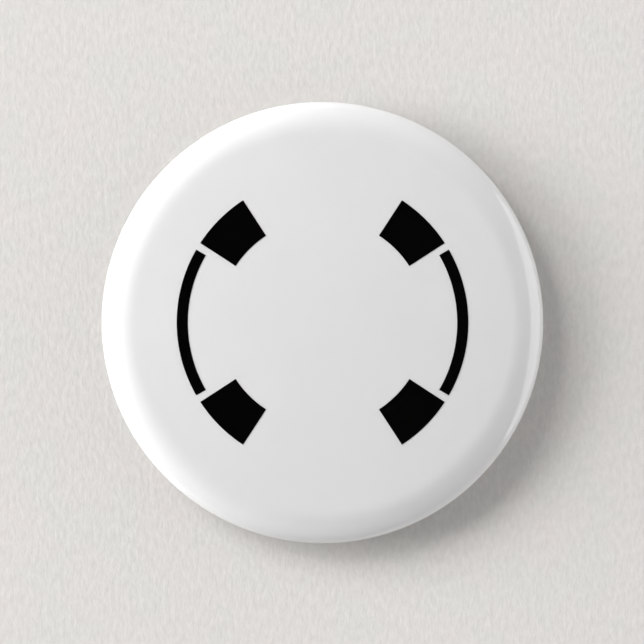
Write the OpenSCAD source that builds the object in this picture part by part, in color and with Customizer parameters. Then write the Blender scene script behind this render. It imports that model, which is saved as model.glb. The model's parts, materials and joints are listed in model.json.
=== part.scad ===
// Round pin-back button badge, lying face up on its crimped rim.
// The origin is the centre of the resting plane, +Z leaves the face and +Y is the top of the artwork.
// From the face inwards the plies are film, ink, paper and tinplate shell. A pressed back plate is
// locked inside the crimp and carries the wire pin. All sizes are in millimetres.

/* [Face] */
// Outside diameter of the finished badge
badge_d = 57.15; // [56.9:0.05:57.6]
// Height of the crown above the resting plane
badge_h = 5.8; // [5.4:0.05:6.4]
// Radius of curvature of the nearly flat crown
crown_r = 500; // [350:10:600]
// Radius at which the crown turns into the shoulder
crown_edge_r = 24.2; // [23.6:0.1:24.6]
// Radius of curvature of the shoulder
shoulder_r = 9; // [8:0.5:11]
// Radius of curvature of the tight roll at the edge
edge_r = 2; // [1.7:0.1:2.3]

/* [Crimped rim] */
// Radius of curvature of the curl under the edge
curl_r = 1.4; // [1:0.05:1.5]
// Radius at which the plies fold round the edge of the shell
fold_r = 26.5; // [26.4:0.05:26.5]
// Length of film and paper tucked in behind the fold
tuck = 0.5; // [0.3:0.05:0.6]

/* [Plies] */
// Thickness of the clear film
film_t = 0.1; // [0.08:0.01:0.12]
// Thickness of the printed ink
ink_t = 0.03; // [0.02:0.01:0.04]
// Thickness of the paper
paper_t = 0.15; // [0.12:0.01:0.16]
// Thickness of the tinplate shell
shell_t = 0.25; // [0.2:0.01:0.26]
// Air between one ply and the next
ply_gap = 0.005; // [0.004:0.001:0.01]

/* [Printed marks] */
// Outer radius of the broken dial ring
dial_r = 18.6; // [16:0.1:20]
// Line width of the thin arcs
arc_line = 1.42; // [0.8:0.02:2]
// Angle covered by each thin arc
arc_span = 60; // [40:1:62]
// Radial depth of the thick blocks
block_depth = 5.4; // [3:0.1:8]
// Angle covered by each thick block
block_span = 24; // [12:1:26]

/* [Back plate] */
// Thickness of the back plate
plate_t = 0.25; // [0.2:0.01:0.3]
// Height of the plate's floor above the resting plane, which is the depth of the recess
floor_z = 3; // [2.9:0.05:3.1]
// Radius at which the floor turns down into the wall
floor_r = 23.9; // [23.6:0.1:24]
// Inside radius of the plate's bends
plate_bend = 0.5; // [0.3:0.05:0.6]
// Slope of the wall below the floor
wall_slope = 65; // [60:1:75]
// Outer radius of the flange that stands inside the shell
flange_r = 27.4; // [27.2:0.05:27.45]
// Height of the flange's top edge
flange_top = 1.9; // [1.7:0.05:1.9]
// Radius of the stiffening bead's centre line
bead_r = 21.6; // [21:0.1:22.4]
// Width of the stiffening bead
bead_w = 1.8; // [1.2:0.1:2]
// Height of the stiffening bead
bead_h = 0.35; // [0.2:0.05:0.5]

/* [Catch] */
// Distance from the centre to the middle of the catch
catch_x = 16.4; // [16.3:0.1:17]
// Width of the catch
catch_w = 2.4; // [1.6:0.1:2.4]
// Inside radius of the catch's hook
hook_r = 0.6; // [0.56:0.01:0.66]
// Inside radius of the bend at the catch's root
root_bend = 0.3; // [0.2:0.05:0.4]

/* [Straps] */
// Distances from the centre to the middles of the two straps
strap_at = [8.6, 13.4];
// Width of a strap
strap_w = 2.2; // [1.6:0.1:2.6]
// Half the length of a strap's hump
strap_half = 1.8; // [1.6:0.1:2]
// Width of the cut beside a lanced tongue or strap
lance_gap = 0.1; // [0.06:0.01:0.2]

/* [Pin] */
// Diameter of the spring wire
wire_d = 0.8; // [0.7:0.05:0.8]
// Distance of the needle above the centre of the badge
needle_y = 6; // [4:0.5:7]
// Distance from the centre to the root of the needle
root_x = 17; // [16.5:0.1:17.5]
// Length of the needle's cylindrical shank
shank_l = 31.9; // [31.6:0.1:32]
// Length of the slim stretch that lies in the catch
neck_l = 3; // [2.8:0.1:3.2]
// Length of the sharp point
point_l = 3.2; // [2.5:0.1:3.6]
// Distance across the hairpin, from the needle's axis to the anchored leg's
leg_gap = 3.75; // [3.5:0.25:4]
// Distance from the centre to the inner end of the anchored leg
leg_x = 6; // [5:0.5:7]
// Bend radius where the leg's end turns up through the plate
tail_bend = 0.8; // [0.7:0.05:0.8]
// Tilt of the hinge axis from +Z, so that the point leaves the catch sideways and outwards
hinge_tilt = 35; // [30:1:36]

/* [Hidden] */
$fn = 144;

badge_r = badge_d / 2;
wire_r = wire_d / 2;

// Depths of the plies' surfaces below the outside of the film
ink_depth = film_t + ply_gap;
paper_depth = ink_depth + ink_t + ply_gap;
shell_depth = paper_depth + paper_t + ply_gap;
shell_back = shell_depth + shell_t;
fold_z = (shell_depth + shell_back) / 2;

// Slopes at which the crown meets the shoulder, and the shoulder meets the edge roll
crown_slope = asin(crown_edge_r / crown_r);
crown_c = [0, badge_h - crown_r];
shoulder_c = crown_c + (crown_r - shoulder_r) * [sin(crown_slope), cos(crown_slope)];
edge_slope = asin((badge_r - edge_r - shoulder_c[0]) / (shoulder_r - edge_r));
edge_c = shoulder_c + (shoulder_r - edge_r) * [sin(edge_slope), cos(edge_slope)];
curl_c = [badge_r - curl_r, curl_r];

// The plate's seat rests on the folded film
seat_gap = 0.02;
seat_z = 2 * fold_z + seat_gap;
wall_cos = cos(wall_slope);
wall_sin = sin(wall_slope);
wall_drop = floor_z - seat_z - (2 * plate_bend + plate_t) * (1 - wall_cos);
wall_foot_r = floor_r + (2 * plate_bend + plate_t) * wall_sin + wall_drop * wall_cos / wall_sin;

// The anchored leg lies against the plate's floor, and the hairpin drops from it to the needle
// along the long side of a 7, 24, 25 triangle
leg_play = 0.02;
leg_z = floor_z - wire_r - leg_play;
leg_y = needle_y + leg_gap * 24 / 25;
needle_z = leg_z - leg_gap * 7 / 25;
hairpin_tilt = asin(7 / 25);
tail_top = floor_z + 1;
tail_hole_r = wire_r + 0.2;
strap_drop = floor_z + plate_t - (leg_z - wire_r) + leg_play;

// The ball at the needle's root turns in a cup in the spring's end
ball_play = 0.03;

// The hook's lip ends where the needle passes it with this much room
lip_room = 0.05;
lip_wrap = acos((wire_r + lip_room) / hook_r) - hinge_tilt;
root_c = [needle_y + hook_r + plate_t + root_bend, floor_z - root_bend];
tongue_l = floor_z - needle_z - root_bend + (90 + lip_wrap) * PI / 180 * hook_r;

// Points on an arc, from angle a0 to angle a1, leaving out its first point unless first is 0
function arc(c, r, a0, a1, n, first = 1) =
    [for (i = [first:n]) let (a = a0 + (a1 - a0) * i / n) c + r * [cos(a), sin(a)]];

function reversed(points) = [for (i = [len(points) - 1:-1:0]) points[i]];

// One smooth hump, 1 at the middle and 0 at either end, for t from -1 to 1
function hump(t) = (1 + cos(180 * t)) / 2;

// The badge's section at a depth below the outside of the film, from the axis to the inside of the rim
function face_line(depth) = concat(
    arc(crown_c, crown_r - depth, 90, 90 - crown_slope, 12, 0),
    arc(shoulder_c, shoulder_r - depth, 90 - crown_slope, 90 - edge_slope, 12),
    arc(edge_c, edge_r - depth, 90 - edge_slope, 0, 6),
    arc(curl_c, curl_r - depth, 0, -90, 8, edge_c[1] - curl_c[1] > 0.001 ? 0 : 1),
    [[fold_r, depth]]
);

// The same line carried on round the shell's edge and tucked in behind it
function folded_line(depth) = concat(
    face_line(depth),
    arc([fold_r, fold_z], fold_z - depth, -90, -270, 8),
    [[fold_r + tuck, 2 * fold_z - depth]]
);

// A stretch of the crown at a depth, between two radii
function crown_line(depth, r0, r1) =
    arc(crown_c, crown_r - depth, 90 - asin(r0 / crown_r), 90 - asin(r1 / crown_r), 8, 0);

// The back plate's section. rise is 0 on the side towards the pin and 1 on the side towards the shell.
function plate_line(rise) = concat(
    [[0, floor_z + rise * plate_t]],
    [for (i = [-8:8]) [bead_r + bead_w / 2 * i / 8, floor_z + rise * plate_t - bead_h * hump(i / 8)]],
    arc([floor_r, floor_z - plate_bend], plate_bend + rise * plate_t, 90, 90 - wall_slope, 6, 0),
    arc([wall_foot_r, seat_z + plate_t + plate_bend], plate_bend + (1 - rise) * plate_t,
        270 - wall_slope, 270, 6, 0),
    arc([flange_r - plate_t - plate_bend, seat_z + plate_t + plate_bend],
        plate_bend + (1 - rise) * plate_t, 270, 360, 6, 0),
    [[flange_r - rise * plate_t, flange_top]]
);

module lathe(outer, inner) {
    rotate_extrude()
        polygon(concat(outer, reversed(inner)));
}

// Extrudes a section drawn in Y and Z along X, from x0 over a width
module along_x(x0, width) {
    translate([x0, 0, 0])
        rotate([90, 0, 90])
            linear_extrude(width)
                children();
}

module clear_film() {
    color([0.96, 0.97, 0.98, 0.25])
        lathe(folded_line(0), folded_line(film_t));
}

module artwork_sheet() {
    color([0.93, 0.93, 0.92])
        lathe(folded_line(paper_depth), folded_line(paper_depth + paper_t));
}

// One piece of the broken ring, reaching in from the dial radius
module printed_sector(middle, span, depth) {
    rotate([0, 0, middle - span / 2])
        rotate_extrude(angle = span)
            polygon(concat(
                crown_line(ink_depth, dial_r - depth, dial_r),
                reversed(crown_line(ink_depth + ink_t, dial_r - depth, dial_r))
            ));
}

module artwork_ink() {
    color([0.02, 0.02, 0.02]) {
        for (side = [0, 180])
            printed_sector(side, arc_span, arc_line);
        for (corner = [45:90:315])
            printed_sector(corner, block_span, block_depth);
    }
}

module front_shell() {
    color([0.72, 0.73, 0.75])
        lathe(face_line(shell_depth), face_line(shell_back));
}

// The tongue that is bent out of the floor and curled under the needle
module catch_tongue() {
    along_x(-catch_x - catch_w / 2, catch_w)
        polygon(concat(
            [[root_c[0] + plate_t, floor_z]],
            arc(root_c, root_bend, 90, 180, 6, 0),
            arc([needle_y, needle_z], hook_r + plate_t, 0, -90 - lip_wrap, 12, 0),
            arc([needle_y, needle_z], hook_r, -90 - lip_wrap, 0, 12, 0),
            arc(root_c, root_bend + plate_t, 180, 90, 6, 0),
            [[root_c[0] + plate_t, floor_z + plate_t]]
        ));
}

// A strip of the floor pressed out over the anchored leg, whole at both ends
module strap(x) {
    steps = 16;
    reach = strap_half + plate_t;
    inner = [for (i = [-steps:steps])
        [leg_y + strap_half * i / steps, floor_z - strap_drop * hump(i / steps)]];
    along_x(x - strap_w / 2, strap_w)
        polygon(concat(
            [[leg_y - reach, floor_z]],
            inner,
            [[leg_y + reach, floor_z], [leg_y + reach, floor_z + plate_t]],
            reversed([for (p = inner) p + [0, plate_t]]),
            [[leg_y - reach, floor_z + plate_t]]
        ));
}

// A rectangular window through the floor
module window(x, width, y0, y1) {
    translate([x - width / 2, y0, floor_z - plate_t])
        cube([width, y1 - y0, 3 * plate_t]);
}

module back_plate() {
    color([0.74, 0.74, 0.75]) {
        difference() {
            lathe(plate_line(0), plate_line(1));
            window(-catch_x, catch_w + 2 * lance_gap, root_c[0] - tongue_l, root_c[0]);
            for (x = strap_at)
                window(x, strap_w + 2 * lance_gap, leg_y - strap_half, leg_y + strap_half);
            translate([leg_x - tail_bend, leg_y, floor_z - plate_t])
                cylinder(r = tail_hole_r, h = 3 * plate_t);
        }
        catch_tongue();
        for (x = strap_at)
            strap(x);
    }
}

// The anchored leg, its tail turned up through the plate, and the hairpin bend that is the spring
module pin_spring() {
    color([0.8, 0.8, 0.82])
        difference() {
            union() {
                translate([leg_x - tail_bend, leg_y, leg_z + tail_bend])
                    cylinder(r = wire_r, h = tail_top - leg_z - tail_bend);
                translate([leg_x, leg_y, leg_z + tail_bend])
                    rotate([-90, 0, 0])
                        rotate([0, 0, 90])
                            rotate_extrude(angle = 90)
                                translate([tail_bend, 0])
                                    circle(wire_r);
                translate([leg_x, leg_y, leg_z])
                    rotate([0, 90, 0])
                        cylinder(r = wire_r, h = root_x - leg_x);
                translate([root_x, (needle_y + leg_y) / 2, (needle_z + leg_z) / 2])
                    rotate([hairpin_tilt, 0, 0])
                        rotate([0, 0, -90])
                            rotate_extrude(angle = 180)
                                translate([leg_gap / 2, 0])
                                    circle(wire_r);
            }
            translate([root_x, needle_y, needle_z])
                sphere(wire_r + ball_play);
        }
}

module pin_needle() {
    color([0.82, 0.82, 0.84])
        translate([root_x, needle_y, needle_z])
            rotate([0, -90, 0])
                rotate_extrude()
                    polygon(concat(
                        arc([0, 0], wire_r, -90, 0, 10, 0),
                        [
                            [wire_r, shank_l],
                            [wire_r * 0.9, shank_l + neck_l],
                            [wire_r * 0.1, shank_l + neck_l + point_l],
                            [0, shank_l + neck_l + point_l]
                        ]
                    ));
}

clear_film();
artwork_sheet();
artwork_ink();
front_shell();
back_plate();
pin_spring();
pin_needle();
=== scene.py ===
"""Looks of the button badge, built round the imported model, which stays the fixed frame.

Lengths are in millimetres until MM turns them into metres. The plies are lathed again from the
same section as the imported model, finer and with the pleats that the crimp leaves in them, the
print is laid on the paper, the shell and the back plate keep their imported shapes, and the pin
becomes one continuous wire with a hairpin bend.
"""
import json
import math
import random

import bmesh
import bpy
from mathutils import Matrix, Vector


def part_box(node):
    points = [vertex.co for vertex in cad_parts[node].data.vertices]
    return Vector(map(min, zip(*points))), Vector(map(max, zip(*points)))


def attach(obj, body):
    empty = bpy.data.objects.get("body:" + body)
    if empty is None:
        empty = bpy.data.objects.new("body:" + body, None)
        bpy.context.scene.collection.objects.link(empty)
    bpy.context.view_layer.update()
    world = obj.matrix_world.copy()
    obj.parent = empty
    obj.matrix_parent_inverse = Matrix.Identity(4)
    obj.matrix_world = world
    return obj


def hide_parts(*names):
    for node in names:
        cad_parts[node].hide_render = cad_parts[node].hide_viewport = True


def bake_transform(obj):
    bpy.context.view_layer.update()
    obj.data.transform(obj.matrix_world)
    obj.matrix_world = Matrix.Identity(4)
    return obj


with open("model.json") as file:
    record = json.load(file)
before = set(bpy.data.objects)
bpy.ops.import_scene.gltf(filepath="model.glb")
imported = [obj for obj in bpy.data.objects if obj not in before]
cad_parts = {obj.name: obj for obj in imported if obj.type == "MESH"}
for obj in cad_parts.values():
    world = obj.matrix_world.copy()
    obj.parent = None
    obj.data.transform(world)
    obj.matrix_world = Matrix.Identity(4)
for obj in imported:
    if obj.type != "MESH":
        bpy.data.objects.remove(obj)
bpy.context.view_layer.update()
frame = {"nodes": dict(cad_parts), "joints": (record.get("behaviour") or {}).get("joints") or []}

MM = 0.001

# ---------------------------------------------------------------- driving sizes, in millimetres

badge_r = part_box("clear_film")[1].x / MM
badge_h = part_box("clear_film")[1].z / MM

# Section of the face, from the crown to the curl under the edge
CROWN_R = 500
CROWN_EDGE_R = 24.2
SHOULDER_R = 9
EDGE_R = 2
CURL_R = 1.4
FOLD_R = 26.5
TUCK = 0.5

# Depths of the plies below the outside of the film, and where they fold round the shell's edge
FILM_T = 0.1
INK_DEPTH = 0.105
INK_T = 0.03
PAPER_DEPTH = 0.14
PAPER_T = 0.15
FOLD_Z = 0.42

# Printed marks
dial_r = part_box("artwork_ink")[1].x / MM
ARC_LINE = 1.42
ARC_SPAN = 60
BLOCK_DEPTH = 5.4
BLOCK_SPAN = 24

# Spring wire
needle_root = [c / MM for c in frame["joints"][0]["pos_m"]]
tail_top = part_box("pin_spring")[1].z / MM
WIRE_R = 0.4
SHANK_L = 31.9
NECK_L = 3
POINT_L = 3.2
LEG_GAP = 3.75
LEG_X = 6
TAIL_BEND = 0.8
NECK_SHARE = 0.9
TIP_SHARE = 0.1

# The leg lies LEG_GAP from the needle, up a slope with the sides 7, 24 and 25
LEG_LEAN_Y = 24 / 25
LEG_LEAN_Z = 7 / 25

# Pleats under the rim: the number round the badge and the strength of each wave, and the full height
PLEAT_WAVES = ((47, 1.0), (64, 0.8), (78, 0.6))
PLEAT_HEIGHT = 0.07

# Mesh fineness: steps round the badge, then along each stretch of the section of a ply
ROUND_STEPS = 480
CROWN_STEPS = 12
SHOULDER_STEPS = 28
EDGE_STEPS = 14
CURL_STEPS = 18
FLAT_STEPS = 4
FOLD_STEPS = 16
TUCK_STEPS = 3

# Steps of the print, across and along a mark
INK_STEP = 0.3
INK_STEPS_A_DEGREE = 2
INK_LEAST_ACROSS = 4
INK_LEAST_ALONG = 24

# Steps round the wire, then along each stretch of it
WIRE_SIDES = 28
TAIL_STEPS = 3
TAIL_BEND_STEPS = 10
LEG_STEPS = 16
HAIRPIN_STEPS = 40
SHANK_STEPS = 24
NECK_STEPS = 6
POINT_STEPS = 14

# A ring smaller than this is one point, and two heights closer than this are one height
POLE_R = 1e-6
SAME_HEIGHT = 0.001
random.seed(11)


# ---------------------------------------------------------------- mesh helpers


def polar(centre, radius, angle):
    """A point at an angle in degrees, on a circle in the section plane."""
    a = math.radians(angle)
    return (centre[0] + radius * math.cos(a), centre[1] + radius * math.sin(a))


def arc(centre, radius, start, end, steps, first=1):
    """Points on an arc, leaving out its first point unless first is 0."""
    return [polar(centre, radius, start + (end - start) * i / steps) for i in range(first, steps + 1)]


def make_piece(name, verts, faces, body="badge", sharp_angle=35, slots=None):
    """A smooth shaded mesh in metres from points in millimetres, with edges sharp past an angle."""
    mesh = bpy.data.meshes.new(name)
    mesh.from_pydata([Vector(v) * MM for v in verts], [], faces)
    bm = bmesh.new()
    bm.from_mesh(mesh)
    bmesh.ops.recalc_face_normals(bm, faces=bm.faces)
    for face in bm.faces:
        face.smooth = True
        if slots:
            face.material_index = slots[face.index]
    for edge in bm.edges:
        edge.smooth = edge.calc_face_angle(0) < math.radians(sharp_angle)
    bm.to_mesh(mesh)
    bm.free()
    piece = bpy.data.objects.new(name, mesh)
    bpy.context.scene.collection.objects.link(piece)
    if body:
        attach(piece, body)
    return piece


def lathe(rings, lift=None):
    """Closed surface of revolution. rings is the section as (radius, height, outward normal, pleat share).

    A ring at radius 0 is one point. The pleats are raised along the normal by lift(angle).
    """
    verts, faces, starts = [], [], []
    for radius, height, normal, share in rings:
        starts.append(len(verts))
        if radius < POLE_R:
            verts.append((0, 0, height))
            continue
        for k in range(ROUND_STEPS):
            angle = 2 * math.pi * k / ROUND_STEPS
            rise = share * lift(angle) if lift and share else 0
            r = radius + rise * normal[0]
            verts.append((r * math.cos(angle), r * math.sin(angle), height + rise * normal[1]))
    for i in range(len(rings) - 1):
        a, b = starts[i], starts[i + 1]
        pole_a, pole_b = rings[i][0] < POLE_R, rings[i + 1][0] < POLE_R
        if pole_a and pole_b:
            continue
        for k in range(ROUND_STEPS):
            n = (k + 1) % ROUND_STEPS
            if pole_a:
                faces.append((a, b + k, b + n))
            elif pole_b:
                faces.append((a + k, b, a + n))
            else:
                faces.append((a + k, b + k, b + n, a + n))
    return verts, faces


# ---------------------------------------------------------------- plies of the face

crown_slope = math.degrees(math.asin(CROWN_EDGE_R / CROWN_R))
crown_c = (0, badge_h - CROWN_R)
shoulder_c = polar(crown_c, CROWN_R - SHOULDER_R, 90 - crown_slope)
edge_slope = math.degrees(math.asin((badge_r - EDGE_R - shoulder_c[0]) / (SHOULDER_R - EDGE_R)))
edge_c = polar(shoulder_c, SHOULDER_R - EDGE_R, 90 - edge_slope)
curl_c = (badge_r - CURL_R, CURL_R)


def face_line(depth):
    """The section at a depth below the film's outside, from the axis to the widest point."""
    return (
        arc(crown_c, CROWN_R - depth, 90, 90 - crown_slope, CROWN_STEPS, 0)
        + arc(shoulder_c, SHOULDER_R - depth, 90 - crown_slope, 90 - edge_slope, SHOULDER_STEPS)
        + arc(edge_c, EDGE_R - depth, 90 - edge_slope, 0, EDGE_STEPS)
    )


def under_line(depth):
    """The rest of the section, from the curl under the edge to the end tucked in behind the fold."""
    flank_has_height = edge_c[1] - curl_c[1] > SAME_HEIGHT
    return (
        arc(curl_c, CURL_R - depth, 0, -90, CURL_STEPS, 0 if flank_has_height else 1)
        + [(curl_c[0] + (FOLD_R - curl_c[0]) * i / FLAT_STEPS, depth) for i in range(1, FLAT_STEPS + 1)]
        + arc((FOLD_R, FOLD_Z), FOLD_Z - depth, -90, -270, FOLD_STEPS)
        + [(FOLD_R + TUCK * i / TUCK_STEPS, 2 * FOLD_Z - depth) for i in range(1, TUCK_STEPS + 1)]
    )


def outward(line, i):
    """The section's normal at point i, away from the shell."""
    a, b = line[max(i - 1, 0)], line[min(i + 1, len(line) - 1)]
    along = (b[0] - a[0], b[1] - a[1])
    length = math.hypot(*along)
    return (-along[1] / length, along[0] / length)


pleat_phases = [random.uniform(0, 2 * math.pi) for wave in PLEAT_WAVES]


def pleat_lift(angle):
    """Height of the small irregular pleats that the crimp leaves in the film and paper."""
    total = sum(size * math.cos(count * angle + phase)
                for (count, size), phase in zip(PLEAT_WAVES, pleat_phases))
    full = sum(size for count, size in PLEAT_WAVES)
    return PLEAT_HEIGHT * ((1 + total / full) / 2) ** 2


def ply_rings(depth):
    """The rings of one surface of a ply, with its normal and how far the pleats are raised there.

    There are no pleats on the face. They grow from the curl, and stand in full behind the fold.
    """
    face, under = face_line(depth), under_line(depth)
    line = face + under
    shares = [0] * len(face) + [((i + 1) / len(under)) ** 2 for i in range(len(under))]
    return [(r, z, outward(line, i), shares[i]) for i, (r, z) in enumerate(line)]


def make_ply(name, outer_depth, thickness):
    """A thin closed shell between two depths. Its faces have slot 0 outside and slot 1 inside."""
    outer = ply_rings(outer_depth)
    inner = ply_rings(outer_depth + thickness)
    verts, faces = lathe(outer + inner[::-1], pleat_lift)
    outside = ROUND_STEPS * len(outer)
    slots = [0 if i < outside else 1 for i in range(len(faces))]
    return make_piece(name, verts, faces, slots=slots)


# ---------------------------------------------------------------- print


def crown_height(radius, depth):
    """Height of the crown's surface at a depth."""
    return crown_c[1] + math.sqrt((CROWN_R - depth) ** 2 - radius ** 2)


def printed_sector(middle, span, depth, verts, faces):
    """Adds one closed piece of the broken ring, as a thin slab that follows the crown."""
    across = max(INK_LEAST_ACROSS, round(depth / INK_STEP))
    along = max(INK_LEAST_ALONG, round(span * INK_STEPS_A_DEGREE))
    base = len(verts)
    for level in (INK_DEPTH, INK_DEPTH + INK_T):
        for j in range(along + 1):
            angle = math.radians(middle - span / 2 + span * j / along)
            for i in range(across + 1):
                r = dial_r - depth + depth * i / across
                verts.append((r * math.cos(angle), r * math.sin(angle), crown_height(r, level)))
    row = across + 1
    level_size = row * (along + 1)
    for level in range(2):
        start = base + level * level_size
        for j in range(along):
            for i in range(across):
                a = start + j * row + i
                faces.append((a, a + 1, a + row + 1, a + row))
    border = list(range(row))
    border += [j * row + across for j in range(1, along + 1)]
    border += [along * row + i for i in range(across - 1, -1, -1)]
    border += [j * row for j in range(along - 1, 0, -1)]
    for here, there in zip(border, border[1:] + border[:1]):
        faces.append((base + here, base + there, base + level_size + there, base + level_size + here))


def make_print():
    """The black marks: two thin arcs and four thick blocks, as one printed layer."""
    verts, faces = [], []
    for side in (0, 180):
        printed_sector(side, ARC_SPAN, ARC_LINE, verts, faces)
    for corner in (45, 135, 225, 315):
        printed_sector(corner, BLOCK_SPAN, BLOCK_DEPTH, verts, faces)
    return make_piece("printed_marks", verts, faces)


# ---------------------------------------------------------------- pin


def wire_path():
    """The wire's centre line from the tail to the point, as (point, share of the radius)."""
    root = Vector(needle_root)
    leg_height = root.z + LEG_GAP * LEG_LEAN_Z
    leg_y = root.y + LEG_GAP * LEG_LEAN_Y
    path = []
    tail_x = LEG_X - TAIL_BEND
    tail_drop = leg_height + TAIL_BEND - tail_top
    for i in range(TAIL_STEPS + 1):
        path.append((Vector((tail_x, leg_y, tail_top + tail_drop * i / TAIL_STEPS)), 1))
    for i in range(1, TAIL_BEND_STEPS + 1):
        x, z = polar((LEG_X, leg_height + TAIL_BEND), TAIL_BEND, 180 + 90 * i / TAIL_BEND_STEPS)
        path.append((Vector((x, leg_y, z)), 1))
    for i in range(1, LEG_STEPS + 1):
        path.append((Vector((LEG_X + (root.x - LEG_X) * i / LEG_STEPS, leg_y, leg_height)), 1))
    middle = Vector((root.x, (root.y + leg_y) / 2, (root.z + leg_height) / 2))
    down = (root - middle).normalized()
    for i in range(1, HAIRPIN_STEPS + 1):
        a = math.pi * i / HAIRPIN_STEPS
        side = Vector((math.sin(a), 0, 0)) * LEG_GAP / 2
        path.append((middle - down * math.cos(a) * LEG_GAP / 2 + side, 1))
    for i in range(1, SHANK_STEPS + 1):
        path.append((root - Vector((SHANK_L * i / SHANK_STEPS, 0, 0)), 1))
    for i in range(1, NECK_STEPS + 1):
        share = 1 - (1 - NECK_SHARE) * i / NECK_STEPS
        path.append((root - Vector((SHANK_L + NECK_L * i / NECK_STEPS, 0, 0)), share))
    for i in range(1, POINT_STEPS + 1):
        share = NECK_SHARE + (TIP_SHARE - NECK_SHARE) * i / POINT_STEPS
        path.append((root - Vector((SHANK_L + NECK_L + POINT_L * i / POINT_STEPS, 0, 0)), share))
    return path


def sweep(path, radius, sides):
    """A round tube along a path of (point, share of the radius), with both ends closed."""
    verts, faces = [], []
    points = [p for p, share in path]
    across = Vector((0, 1, 0))
    for i, (point, share) in enumerate(path):
        along = (points[min(i + 1, len(points) - 1)] - points[max(i - 1, 0)]).normalized()
        across = (across - along * across.dot(along)).normalized()
        up = along.cross(across)
        for k in range(sides):
            a = 2 * math.pi * k / sides
            verts.append(point + (across * math.cos(a) + up * math.sin(a)) * radius * share)
    for i in range(len(path) - 1):
        for k in range(sides):
            n = (k + 1) % sides
            a, b = i * sides, (i + 1) * sides
            faces.append((a + k, a + n, b + n, b + k))
    faces.append(tuple(range(sides)))
    last = (len(path) - 1) * sides
    faces.append(tuple(last + k for k in range(sides)))
    return verts, faces


def make_wire():
    """One spring wire: tail, anchored leg, hairpin bend, needle and point."""
    verts, faces = sweep(wire_path(), WIRE_R, WIRE_SIDES)
    wire = make_piece("pin_wire", verts, faces, body=None, sharp_angle=50)
    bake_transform(wire)
    return wire


# ---------------------------------------------------------------- materials

# What a clear polyester film mirrors of the light that meets it head on
FILM_MIRROR = 0.045


class Nodes:
    """A material's node tree, with short calls to add and join nodes."""

    def __init__(self, name):
        self.material = bpy.data.materials.new(name)
        self.material.use_nodes = True
        self.tree = self.material.node_tree
        self.tree.nodes.clear()
        self.output = self.tree.nodes.new("ShaderNodeOutputMaterial")

    def add(self, kind, inputs=None, **settings):
        """Adds a node. inputs holds values, or the output sockets that feed them."""
        node = self.tree.nodes.new("ShaderNode" + kind)
        for key, value in settings.items():
            setattr(node, key, value)
        for key, value in (inputs or {}).items():
            socket = node.inputs[key]
            if isinstance(value, bpy.types.NodeSocket):
                self.tree.links.new(value, socket)
            else:
                socket.default_value = value
        return node

    def place(self, scale, rotation=(0, 0, 0)):
        """Coordinates in the part's own frame, in millimetres times scale."""
        where = self.add("TexCoord").outputs["Object"]
        stretch = [s / MM for s in scale]
        return self.add("Mapping", {"Vector": where, "Scale": stretch, "Rotation": rotation}).outputs[0]

    def noise(self, scale, detail=3, roughness=0.5, rotation=(0, 0, 0)):
        """Noise with scale features in each millimetre along X, Y and Z."""
        where = self.place(scale, rotation)
        return self.add("TexNoise", {
            "Vector": where, "Scale": 1, "Detail": detail, "Roughness": roughness,
        }).outputs["Fac"]

    def spread(self, value, low, high, from_low=0.3, from_high=0.7):
        """value, stretched from one range to another and held inside it."""
        return self.add("MapRange", {
            "Value": value, "From Min": from_low, "From Max": from_high, "To Min": low, "To Max": high,
        }).outputs["Result"]

    def colours(self, value, low, high):
        """A colour between low and high."""
        mix = self.add("Mix", data_type="RGBA")
        self.tree.links.new(value, mix.inputs["Factor"])
        mix.inputs["A"].default_value = (*low, 1)
        mix.inputs["B"].default_value = (*high, 1)
        return mix.outputs["Result"]

    def maths(self, operation, a, b):
        """One Math node."""
        return self.add("Math", {0: a, 1: b}, operation=operation).outputs[0]

    def bump(self, height, depth, below=None):
        """A bump of a depth in millimetres, on top of another one."""
        inputs = {"Height": height, "Strength": 1, "Distance": depth * MM}
        if below:
            inputs["Normal"] = below
        return self.add("Bump", inputs).outputs["Normal"]

    def show(self, shader):
        """Puts the shader on the surface, and gives the finished material."""
        self.tree.links.new(shader.outputs[0], self.output.inputs["Surface"])
        return self.material


def film_material():
    """Clear polyester film: sees through, with a soft gloss that rises towards grazing angles."""
    nodes = Nodes("clear_gloss_film")
    waves = nodes.noise((0.25, 0.25, 0.25), detail=2)
    grain = nodes.noise((3, 3, 3), detail=2)
    normal = nodes.bump(grain, 0.0002, nodes.bump(waves, 0.004))
    through = nodes.add("BsdfTransparent", {"Color": (0.995, 0.995, 0.995, 1)})
    rough = nodes.spread(grain, 0.1, 0.16)
    gloss = nodes.add("BsdfAnisotropic", {"Color": (1, 1, 1, 1), "Roughness": rough, "Normal": normal})
    facing = nodes.add("LayerWeight", {"Blend": 0.5, "Normal": normal}).outputs["Facing"]
    rise = nodes.maths("MULTIPLY", nodes.maths("POWER", facing, 5), 1 - FILM_MIRROR)
    share = nodes.maths("ADD", rise, FILM_MIRROR)
    return nodes.show(nodes.add("MixShader", {0: share, 1: through.outputs[0], 2: gloss.outputs[0]}))


def film_inside_material():
    """The film's inner face, which is wetted to the paper and so mirrors nothing."""
    nodes = Nodes("film_inside")
    return nodes.show(nodes.add("BsdfTransparent", {"Color": (1, 1, 1, 1)}))


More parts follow.
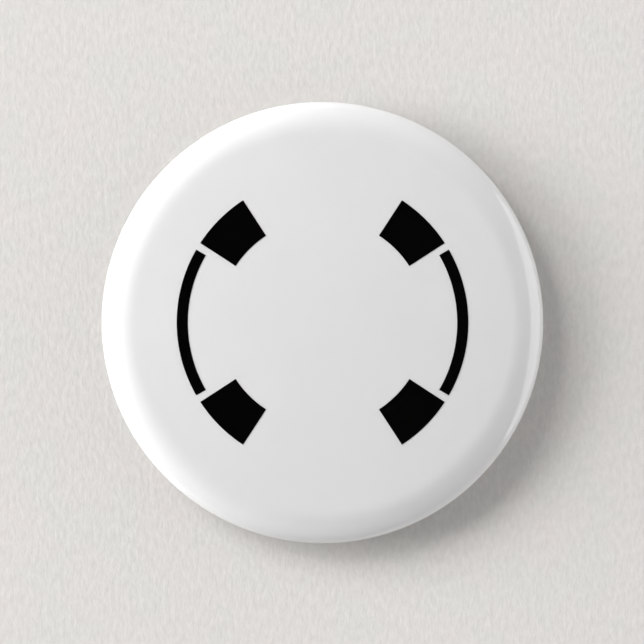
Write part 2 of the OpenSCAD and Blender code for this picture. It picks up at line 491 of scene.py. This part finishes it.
def paper_material():
    """Bright coated paper with a faint fibre grain."""
    nodes = Nodes("coated_paper")
    fibre = nodes.noise((2.5, 6, 4), detail=6, roughness=0.6)
    cloud = nodes.noise((0.12, 0.12, 0.12), detail=3)
    tone = nodes.maths("ADD", nodes.maths("MULTIPLY", fibre, 0.5), nodes.maths("MULTIPLY", cloud, 0.5))
    colour = nodes.colours(nodes.spread(tone, 0, 1), (0.9, 0.9, 0.9), (0.93, 0.93, 0.93))
    return nodes.show(nodes.add("BsdfPrincipled", {
        "Base Color": colour,
        "Roughness": nodes.spread(fibre, 0.55, 0.7),
        "Specular IOR Level": 0.15,
        "Normal": nodes.bump(fibre, 0.0007),
    }))


def ink_material():
    """Dense black print, a little uneven."""
    nodes = Nodes("printed_black")
    mottle = nodes.noise((5, 5, 5), detail=4)
    colour = nodes.colours(nodes.spread(mottle, 0, 1), (0.0001, 0.0001, 0.0001), (0.0006, 0.0006, 0.0006))
    return nodes.show(nodes.add("BsdfPrincipled", {
        "Base Color": colour,
        "Roughness": nodes.spread(mottle, 0.5, 0.65),
        "Specular IOR Level": 0.05,
        "Normal": nodes.bump(mottle, 0.001),
    }))


def tinplate_material(name, dark, light, metallic):
    """Rolled tinplate: fine rolling lines, crossing scratches and a cloudy tin surface."""
    nodes = Nodes(name)
    rolled = nodes.noise((0.06, 5, 5), detail=5, roughness=0.65)
    scratches = nodes.noise((0.25, 22, 22), detail=2, rotation=(0, 0, math.radians(37)))
    cloud = nodes.noise((0.35, 0.35, 0.35), detail=5, roughness=0.6)
    marks = nodes.spread(scratches, 0, 1, 0.64, 0.74)
    tone = nodes.maths("ADD", nodes.maths("MULTIPLY", rolled, 0.6), nodes.maths("MULTIPLY", cloud, 0.4))
    colour = nodes.colours(nodes.spread(tone, 0, 1), dark, light)
    rough = nodes.maths("ADD", nodes.spread(tone, 0.24, 0.4), nodes.maths("MULTIPLY", marks, 0.12))
    normal = nodes.bump(marks, 0.0015, nodes.bump(rolled, 0.003, nodes.bump(cloud, 0.006)))
    return nodes.show(nodes.add("BsdfPrincipled", {
        "Base Color": colour, "Metallic": metallic, "Roughness": rough, "Normal": normal,
    }))


def wire_material():
    """Nickel plated spring wire with fine marks drawn along it."""
    nodes = Nodes("nickel_wire")
    drawn = nodes.noise((0.15, 14, 14), detail=3)
    cloud = nodes.noise((0.8, 0.8, 0.8), detail=4)
    colour = nodes.colours(nodes.spread(cloud, 0, 1), (0.62, 0.61, 0.58), (0.72, 0.71, 0.68))
    rough = nodes.maths("ADD", nodes.spread(drawn, 0.14, 0.24), nodes.maths("MULTIPLY", cloud, 0.08))
    return nodes.show(nodes.add("BsdfPrincipled", {
        "Base Color": colour, "Metallic": 1.0, "Roughness": rough, "Normal": nodes.bump(drawn, 0.002),
    }))


def floor_material():
    """Pale, slightly warm paper with short fibres and a faint change of tint."""
    nodes = Nodes("pale_paper_floor")
    fibre = nodes.noise((1.7, 0.75, 1), detail=5, roughness=0.6, rotation=(0, 0, math.radians(-8)))
    cloud = nodes.noise((0.13, 0.13, 0.13), detail=3)
    tint = nodes.colours(nodes.spread(cloud, 0, 1), (0.7, 0.694, 0.665), (0.725, 0.69, 0.672))
    colour = nodes.add("HueSaturation", {"Color": tint, "Value": nodes.spread(fibre, 0.94, 1.06)})
    return nodes.show(nodes.add("BsdfPrincipled", {
        "Base Color": colour.outputs[0],
        "Roughness": 0.9,
        "Specular IOR Level": 0.1,
        "Normal": nodes.bump(fibre, 0.05),
    }))


def finish_piece(piece, slot, *materials):
    """Gives a piece its materials. The slot argument, the record's part that it stands for, is not used.
    """
    piece.data.materials.clear()
    for material in materials:
        piece.data.materials.append(material)


# ---------------------------------------------------------------- stage

# Width of what the camera sees at the height of the rim, and the point that it stands over
VIEW_WIDTH = 83.08
LENS = 100
SENSOR = 36
# The nearest that the camera sees, in metres
CLIP_START = 0.01
AIM = (-0.0645, 0.0645)

# Half the width of the floor
FLOOR_HALF = 500

# Lamps stand this far off, and their brightness is the radiance of their surface. The key light is a
# large window, as a high part and a low part. The side lamp fills in from the right, and the band is
# the pale wall that the film mirrors along its right edge. It is narrow enough not to be mirrored by
# the whole face when the badge is seen low from the left.
LAMP_DISTANCE = 1800
KEY_HIGH = {"azimuth": 138, "elevation": 31, "size": (900, 900), "radiance": 9.6}
KEY_LOW = {"azimuth": 170, "elevation": 16, "size": (1200, 1000), "radiance": 12.8}
SIDE = {"azimuth": 8, "elevation": 9, "size": (3400, 600), "radiance": 1.5}
BAND = {"azimuth": 2, "elevation": 14, "size": (2400, 2200), "radiance": 1.7}

# The sky's brightness at the horizon and overhead, and the sines of the elevations between which it fades
SKY_HORIZON = 0.77
SKY_ZENITH = 0.0
SKY_FADE_FROM = 0.7
SKY_FADE_TO = 0.96


def make_floor():
    """A pale sheet under the badge."""
    corners = [(x * FLOOR_HALF, y * FLOOR_HALF, 0) for x, y in ((-1, -1), (1, -1), (1, 1), (-1, 1))]
    floor = make_piece("floor", corners, [(0, 1, 2, 3)], body=None)
    floor.data.materials.append(floor_material())


def make_lamp(name, setup, shape, diffuse=True, glossy=True):
    """A soft lamp that faces the badge. It may be left out of what is lit, or of what is mirrored."""
    azimuth, elevation = math.radians(setup["azimuth"]), math.radians(setup["elevation"])
    toward = Vector((
        math.cos(azimuth) * math.cos(elevation),
        math.sin(azimuth) * math.cos(elevation),
        math.sin(elevation),
    ))
    width, height = (side * MM for side in setup["size"])
    area = width * height * (math.pi / 4 if shape == "ELLIPSE" else 1)
    data = bpy.data.lights.new(name, "AREA")
    data.shape = shape
    data.size, data.size_y = width, height
    data.energy = setup["radiance"] * math.pi * area
    lamp = bpy.data.objects.new(name, data)
    lamp.location = toward * LAMP_DISTANCE * MM
    lamp.rotation_mode = "QUATERNION"
    lamp.rotation_quaternion = toward.to_track_quat("Z", "Y")
    lamp.visible_diffuse = diffuse
    lamp.visible_glossy = glossy
    bpy.context.scene.collection.objects.link(lamp)


def make_sky():
    """Even fill that is bright towards the horizon and dark straight overhead."""
    world = bpy.data.worlds.new("fill")
    world.use_nodes = True
    tree = world.node_tree
    tree.nodes.clear()
    where = tree.nodes.new("ShaderNodeTexCoord")
    split = tree.nodes.new("ShaderNodeSeparateXYZ")
    ramp = tree.nodes.new("ShaderNodeMapRange")
    light = tree.nodes.new("ShaderNodeBackground")
    output = tree.nodes.new("ShaderNodeOutputWorld")
    tree.links.new(where.outputs["Generated"], split.inputs[0])
    tree.links.new(split.outputs["Z"], ramp.inputs["Value"])
    ramp.interpolation_type = "SMOOTHSTEP"
    ramp.inputs["From Min"].default_value = SKY_FADE_FROM
    ramp.inputs["From Max"].default_value = SKY_FADE_TO
    ramp.inputs["To Min"].default_value = SKY_HORIZON
    ramp.inputs["To Max"].default_value = SKY_ZENITH
    tree.links.new(ramp.outputs[0], light.inputs["Strength"])
    tree.links.new(light.outputs[0], output.inputs["Surface"])
    bpy.context.scene.world = world


def make_camera():
    """Looks straight down on the face."""
    data = bpy.data.cameras.new("camera")
    data.lens = LENS
    data.sensor_width = SENSOR
    data.clip_start = CLIP_START
    camera = bpy.data.objects.new("camera", data)
    distance = VIEW_WIDTH * LENS / SENSOR
    camera.location = Vector((AIM[0], AIM[1], edge_c[1] + distance)) * MM
    bpy.context.scene.collection.objects.link(camera)
    bpy.context.scene.camera = camera


# ---------------------------------------------------------------- build

make_camera()
make_floor()
make_lamp("key_high", KEY_HIGH, "ELLIPSE", glossy=False)
make_lamp("key_low", KEY_LOW, "ELLIPSE", glossy=False)
make_lamp("side", SIDE, "RECTANGLE", glossy=False)
make_lamp("band", BAND, "ELLIPSE", diffuse=False)
make_sky()

film = make_ply("film_cover", 0, FILM_T)
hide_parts("clear_film")
finish_piece(film, "film", film_material(), film_inside_material())

paper = make_ply("paper_cover", PAPER_DEPTH, PAPER_T)
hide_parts("artwork_sheet")
paper_finish = paper_material()
finish_piece(paper, "paper", paper_finish, paper_finish)
# The lit rim would make the floor beside it glow, so only the duller shell under the paper lights it
paper.visible_diffuse = False

marks = make_print()
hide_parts("artwork_ink")
finish_piece(marks, "ink", ink_material())

wire = make_wire()
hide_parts("pin_spring", "pin_needle")
finish_piece(wire, "wire", wire_material())

finish_piece(frame["nodes"]["front_shell"], "shell_tinplate",
             tinplate_material("shell_tinplate", (0.8, 0.805, 0.815), (0.9, 0.905, 0.91), 0.1))
finish_piece(frame["nodes"]["back_plate"], "plate_tinplate",
             tinplate_material("plate_tinplate", (0.6, 0.6, 0.61), (0.76, 0.76, 0.765), 1))

scene = bpy.context.scene
scene.view_settings.view_transform = "Standard"
scene.cycles.use_denoising = True
